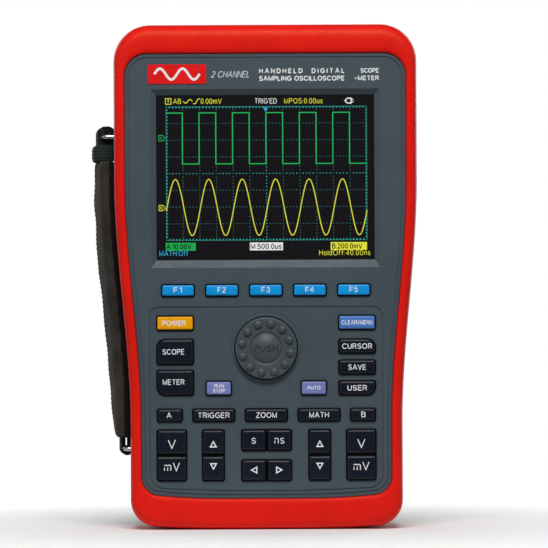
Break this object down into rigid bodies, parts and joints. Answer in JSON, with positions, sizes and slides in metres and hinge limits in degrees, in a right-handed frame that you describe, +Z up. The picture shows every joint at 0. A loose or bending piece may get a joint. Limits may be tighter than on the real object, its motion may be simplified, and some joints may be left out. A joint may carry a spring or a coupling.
{
  "type": "handheld oscilloscope",
  "caption": "Handheld two-channel digital oscilloscope with a large screen, keypad, turning dial, rubber bumper, hand strap, tilt stand and top sockets.",
  "frame": {"origin": "the flat middle of the base that the instrument stands on, at the middle of its width and of the rubber rim's depth", "axes": "+Z up the body, +X to the viewer's right seen from the screen side, -Y out of the screen, +Y out of the back"},
  "size_m": [0.1734, 0.06, 0.268],
  "materials": {
    "panel_grey": "fine moulded texture, slate grey",
    "case_dark": "moulded texture, near black",
    "rubber_red": "satin over-moulded elastomer, bright red",
    "window": "clear acrylic with a black printed border",
    "display": "colour LCD module",
    "sheet_steel": "plated sheet steel",
    "silicone": "grey silicone rubber",
    "circuit_board": "green solder mask",
    "steel": "zinc plated",
    "battery_wrap": "shrink-wrapped lithium-ion pack",
    "badge_red": "glossy red badge",
    "nickel": "nickel plated",
    "gold": "gold plated",
    "white_plastic": "white insulator",
    "socket_black": "black insulating shroud",
    "socket_red": "red insulating shroud",
    "strap_fabric": "black woven mesh over foam",
    "strap_webbing": "black nylon webbing",
    "key_amber": "amber silicone key",
    "key_blue": "mid blue silicone key",
    "key_lavender": "lavender blue silicone key",
    "key_azure": "azure silicone key",
    "key_navy": "blue-black silicone key"
  },
  "bodies": {
    "case": {"battery_door": "case_dark", "battery_pack": "battery_wrap", "battery_screws": "steel", "bnc_contacts": "gold", "bnc_insulators": "white_plastic", "bnc_socket_a": "nickel", "bnc_socket_b": "nickel", "case_screws": "steel", "case_seal": "silicone", "dc_jack": "socket_black", "encoder_body": "steel", "front_case": "panel_grey", "keypad_board": "circuit_board", "keypad_mat": "silicone", "lcd_frame": "sheet_steel", "lcd_module": "display", "main_board": "circuit_board", "meter_sleeves": "gold", "meter_socket_common": "socket_black", "meter_socket_volts": "socket_red", "name_badge": "badge_red", "rear_case": "case_dark", "rubber_bumper": "rubber_red", "screen_window": "window", "shield_can": "sheet_steel", "stand_pin": "steel", "strap_bails": "steel", "strap_pad": "strap_fabric", "strap_webbing": "strap_webbing", "usb_port": "nickel"},
    "key_f1": {"key_f1": "key_azure"},
    "key_f2": {"key_f2": "key_azure"},
    "key_f3": {"key_f3": "key_azure"},
    "key_f4": {"key_f4": "key_azure"},
    "key_f5": {"key_f5": "key_azure"},
    "key_power": {"key_power": "key_amber"},
    "key_scope": {"key_scope": "key_navy"},
    "key_meter": {"key_meter": "key_navy"},
    "key_clear_menu": {"key_clear_menu": "key_blue"},
    "key_cursor": {"key_cursor": "key_navy"},
    "key_save": {"key_save": "key_navy"},
    "key_user": {"key_user": "key_navy"},
    "key_run_stop": {"key_run_stop": "key_lavender"},
    "key_auto": {"key_auto": "key_lavender"},
    "key_channel_a": {"key_channel_a": "key_navy"},
    "key_trigger": {"key_trigger": "key_navy"},
    "key_zoom": {"key_zoom": "key_navy"},
    "key_math": {"key_math": "key_navy"},
    "key_channel_b": {"key_channel_b": "key_navy"},
    "rocker_volts_a": {"rocker_volts_a": "key_navy"},
    "rocker_position_a": {"rocker_position_a": "key_navy"},
    "rocker_position_b": {"rocker_position_b": "key_navy"},
    "rocker_volts_b": {"rocker_volts_b": "key_navy"},
    "rocker_timebase": {"rocker_timebase": "key_navy"},
    "rocker_shift": {"rocker_shift": "key_navy"},
    "dial_plunger": {"encoder_plunger": "steel"},
    "dial": {"dial_knob": "panel_grey", "encoder_shaft": "steel"},
    "stand": {"tilt_stand": "case_dark"},
    "port_flap": {"port_cover": "rubber_red"}
  },
  "joints": [
    {"name": "press_f1", "type": "slide", "parent": "case", "child": "key_f1", "axis": [0, 1, 0], "range_m": [0, 0.0011], "stiffness_N_per_m": 1500},
    {"name": "press_f2", "type": "slide", "parent": "case", "child": "key_f2", "axis": [0, 1, 0], "range_m": [0, 0.0011], "stiffness_N_per_m": 1500},
    {"name": "press_f3", "type": "slide", "parent": "case", "child": "key_f3", "axis": [0, 1, 0], "range_m": [0, 0.0011], "stiffness_N_per_m": 1500},
    {"name": "press_f4", "type": "slide", "parent": "case", "child": "key_f4", "axis": [0, 1, 0], "range_m": [0, 0.0011], "stiffness_N_per_m": 1500},
    {"name": "press_f5", "type": "slide", "parent": "case", "child": "key_f5", "axis": [0, 1, 0], "range_m": [0, 0.0011], "stiffness_N_per_m": 1500},
    {"name": "press_power", "type": "slide", "parent": "case", "child": "key_power", "axis": [0, 1, 0], "range_m": [0, 0.0011], "stiffness_N_per_m": 1500},
    {"name": "press_scope", "type": "slide", "parent": "case", "child": "key_scope", "axis": [0, 1, 0], "range_m": [0, 0.0011], "stiffness_N_per_m": 1500},
    {"name": "press_meter", "type": "slide", "parent": "case", "child": "key_meter", "axis": [0, 1, 0], "range_m": [0, 0.0011], "stiffness_N_per_m": 1500},
    {"name": "press_clear_menu", "type": "slide", "parent": "case", "child": "key_clear_menu", "axis": [0, 1, 0], "range_m": [0, 0.0011], "stiffness_N_per_m": 1500},
    {"name": "press_cursor", "type": "slide", "parent": "case", "child": "key_cursor", "axis": [0, 1, 0], "range_m": [0, 0.0011], "stiffness_N_per_m": 1500},
    {"name": "press_save", "type": "slide", "parent": "case", "child": "key_save", "axis": [0, 1, 0], "range_m": [0, 0.0011], "stiffness_N_per_m": 1500},
    {"name": "press_user", "type": "slide", "parent": "case", "child": "key_user", "axis": [0, 1, 0], "range_m": [0, 0.0011], "stiffness_N_per_m": 1500},
    {"name": "press_run_stop", "type": "slide", "parent": "case", "child": "key_run_stop", "axis": [0, 1, 0], "range_m": [0, 0.0011], "stiffness_N_per_m": 1500},
    {"name": "press_auto", "type": "slide", "parent": "case", "child": "key_auto", "axis": [0, 1, 0], "range_m": [0, 0.0011], "stiffness_N_per_m": 1500},
    {"name": "press_channel_a", "type": "slide", "parent": "case", "child": "key_channel_a", "axis": [0, 1, 0], "range_m": [0, 0.0011], "stiffness_N_per_m": 1500},
    {"name": "press_trigger", "type": "slide", "parent": "case", "child": "key_trigger", "axis": [0, 1, 0], "range_m": [0, 0.0011], "stiffness_N_per_m": 1500},
    {"name": "press_zoom", "type": "slide", "parent": "case", "child": "key_zoom", "axis": [0, 1, 0], "range_m": [0, 0.0011], "stiffness_N_per_m": 1500},
    {"name": "press_math", "type": "slide", "parent": "case", "child": "key_math", "axis": [0, 1, 0], "range_m": [0, 0.0011], "stiffness_N_per_m": 1500},
    {"name": "press_channel_b", "type": "slide", "parent": "case", "child": "key_channel_b", "axis": [0, 1, 0], "range_m": [0, 0.0011], "stiffness_N_per_m": 1500},
    {"name": "rock_volts_a", "type": "hinge", "parent": "case", "child": "rocker_volts_a", "pos_m": [-0.0502, -0.02285, 0.0396], "axis": [1, 0, 0], "range_deg": [-2.2, 2.2], "stiffness_Nm_per_rad": 1.2},
    {"name": "rock_position_a", "type": "hinge", "parent": "case", "child": "rocker_position_a", "pos_m": [-0.0282, -0.02285, 0.0396], "axis": [1, 0, 0], "range_deg": [-2.2, 2.2], "stiffness_Nm_per_rad": 1.2},
    {"name": "rock_position_b", "type": "hinge", "parent": "case", "child": "rocker_position_b", "pos_m": [0.0282, -0.02285, 0.0396], "axis": [1, 0, 0], "range_deg": [-2.2, 2.2], "stiffness_Nm_per_rad": 1.2},
    {"name": "rock_volts_b", "type": "hinge", "parent": "case", "child": "rocker_volts_b", "pos_m": [0.0502, -0.02285, 0.0396], "axis": [1, 0, 0], "range_deg": [-2.2, 2.2], "stiffness_Nm_per_rad": 1.2},
    {"name": "rock_timebase", "type": "hinge", "parent": "case", "child": "rocker_timebase", "pos_m": [0, -0.02285, 0.0475], "axis": [0, 0, 1], "range_deg": [-2.2, 2.2], "stiffness_Nm_per_rad": 1.2},
    {"name": "rock_shift", "type": "hinge", "parent": "case", "child": "rocker_shift", "pos_m": [0, -0.02285, 0.0315], "axis": [0, 0, 1], "range_deg": [-2.2, 2.2], "stiffness_Nm_per_rad": 1.2},
    {"name": "dial_push", "type": "slide", "parent": "case", "child": "dial_plunger", "axis": [0, 1, 0], "range_m": [0, 0.0008], "stiffness_N_per_m": 3000},
    {"name": "dial_turn", "type": "hinge", "parent": "dial_plunger", "child": "dial", "pos_m": [0, -0.02, 0.0963], "axis": [0, 1, 0], "continuous": true},
    {"name": "stand_open", "type": "hinge", "parent": "case", "child": "stand", "pos_m": [0, 0.0238, 0.229], "axis": [1, 0, 0], "range_deg": [0, 60]},
    {"name": "port_flap_open", "type": "hinge", "parent": "case", "child": "port_flap", "pos_m": [0.0805, 0.0188, 0.207], "axis": [0, 0, 1], "range_deg": [0, 110]}
  ]
}
